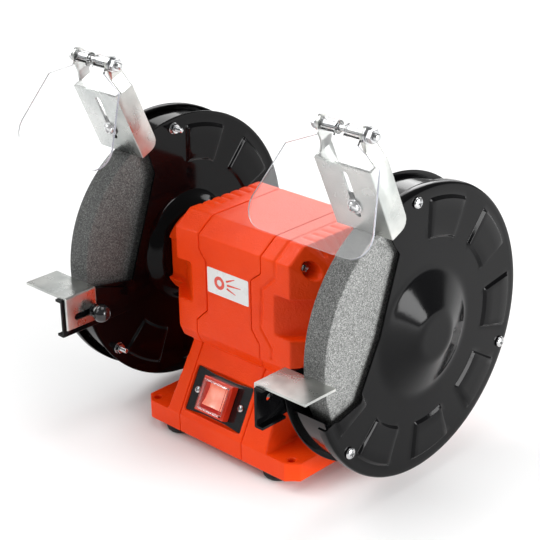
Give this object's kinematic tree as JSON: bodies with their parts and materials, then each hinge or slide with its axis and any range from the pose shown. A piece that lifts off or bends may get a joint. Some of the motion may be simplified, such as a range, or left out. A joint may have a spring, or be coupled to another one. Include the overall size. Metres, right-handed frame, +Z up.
{
  "type": "bench grinder",
  "caption": "Bench grinder: electric motor on a base with a guarded abrasive wheel at each end, tool rests, spark arrestors, hinged clear eye shields and a rocker switch.",
  "frame": {"origin": "middle of the base's underside, which the feet hold 8 mm above the bench", "axes": "+X along the shaft to the right-hand wheel, +Y to the back, +Z up"},
  "size_m": [0.3598, 0.248, 0.3032],
  "materials": {
    "painted_housing": "orange-red textured enamel on cast metal",
    "black_sheet": "gloss black enamel on pressed steel",
    "zinc": "bright zinc plating",
    "steel": "ground steel",
    "abrasive": "grey vitrified aluminium oxide grit",
    "rubber": "matt black rubber",
    "black_plastic": "moulded black plastic",
    "red_plastic": "moulded red plastic",
    "clear_plastic": "clear polycarbonate",
    "copper": "varnished copper windings",
    "laminations": "stacked electrical steel",
    "white_plastic": "white capacitor case"
  },
  "bodies": {
    "frame": {"left_housing": "painted_housing", "centre_housing": "painted_housing", "right_housing": "painted_housing", "bottom_plate": "zinc", "foot_front_left": "rubber", "foot_front_right": "rubber", "foot_rear_left": "rubber", "foot_rear_right": "rubber", "switch_plate": "black_plastic", "switch_bezel": "red_plastic", "switch_cover": "clear_plastic", "switch_screw_left": "zinc", "switch_screw_right": "zinc", "cable_gland": "black_plastic", "capacitor": "white_plastic", "stator_core": "laminations", "stator_winding": "copper", "bearing_left": "steel", "bearing_right": "steel", "guard_inner_left": "black_sheet", "guard_band_left": "black_sheet", "guard_outer_left": "black_sheet", "rest_arm_left": "black_sheet", "arrestor_bolt_left": "zinc", "guard_bolt_left_1": "zinc", "guard_bolt_left_2": "zinc", "guard_bolt_left_3": "zinc", "guard_inner_right": "black_sheet", "guard_band_right": "black_sheet", "guard_outer_right": "black_sheet", "rest_arm_right": "black_sheet", "arrestor_bolt_right": "zinc", "guard_bolt_right_1": "zinc", "guard_bolt_right_2": "zinc", "guard_bolt_right_3": "zinc"},
    "rotor": {"shaft": "steel", "rotor_core": "laminations", "fan": "black_plastic", "wheel_left": "abrasive", "inner_flange_left": "zinc", "outer_flange_left": "zinc", "wheel_nut_left": "zinc", "wheel_right": "abrasive", "inner_flange_right": "zinc", "outer_flange_right": "zinc", "wheel_nut_right": "zinc"},
    "left_bracket": {"shield_bracket_left": "zinc", "hinge_bolt_left": "zinc", "hinge_nut_left": "zinc"},
    "left_shield": {"eye_shield_left": "clear_plastic"},
    "left_rest": {"tool_rest_left": "zinc"},
    "left_knob": {"rest_knob_left": "black_plastic"},
    "right_bracket": {"shield_bracket_right": "zinc", "hinge_bolt_right": "zinc", "hinge_nut_right": "zinc"},
    "right_shield": {"eye_shield_right": "clear_plastic"},
    "right_rest": {"tool_rest_right": "zinc"},
    "right_knob": {"rest_knob_right": "black_plastic"},
    "rocker": {"switch_rocker": "red_plastic"}
  },
  "joints": [
    {"name": "shaft_spin", "type": "hinge", "parent": "frame", "child": "rotor", "pos_m": [0, 0, 0.119], "axis": [1, 0, 0], "continuous": true},
    {"name": "left_bracket_slide", "type": "slide", "parent": "frame", "child": "left_bracket", "axis": [0, -0.3981, 0.9173], "range_m": [0, 0.0075]},
    {"name": "left_shield_tilt", "type": "hinge", "parent": "left_bracket", "child": "left_shield", "pos_m": [-0.126, -0.06957, 0.28735], "axis": [1, 0, 0], "range_deg": [-95, 20]},
    {"name": "left_rest_slide", "type": "slide", "parent": "frame", "child": "left_rest", "axis": [0, 1, 0], "range_m": [0, 0.0025]},
    {"name": "left_knob_turn", "type": "hinge", "parent": "frame", "child": "left_knob", "pos_m": [-0.0935, -0.107, 0.098], "axis": [1, 0, 0], "continuous": true},
    {"name": "right_bracket_slide", "type": "slide", "parent": "frame", "child": "right_bracket", "axis": [0, -0.3981, 0.9173], "range_m": [0, 0.0075]},
    {"name": "right_shield_tilt", "type": "hinge", "parent": "right_bracket", "child": "right_shield", "pos_m": [0.126, -0.06957, 0.28735], "axis": [1, 0, 0], "range_deg": [-95, 20]},
    {"name": "right_rest_slide", "type": "slide", "parent": "frame", "child": "right_rest", "axis": [0, 1, 0], "range_m": [0, 0.0025]},
    {"name": "right_knob_turn", "type": "hinge", "parent": "frame", "child": "right_knob", "pos_m": [0.0935, -0.107, 0.098], "axis": [1, 0, 0], "continuous": true},
    {"name": "rocker_press", "type": "hinge", "parent": "frame", "child": "rocker", "pos_m": [-0.007, -0.06355, 0.03556], "axis": [1, 0, 0], "range_deg": [0, 24]}
  ]
}
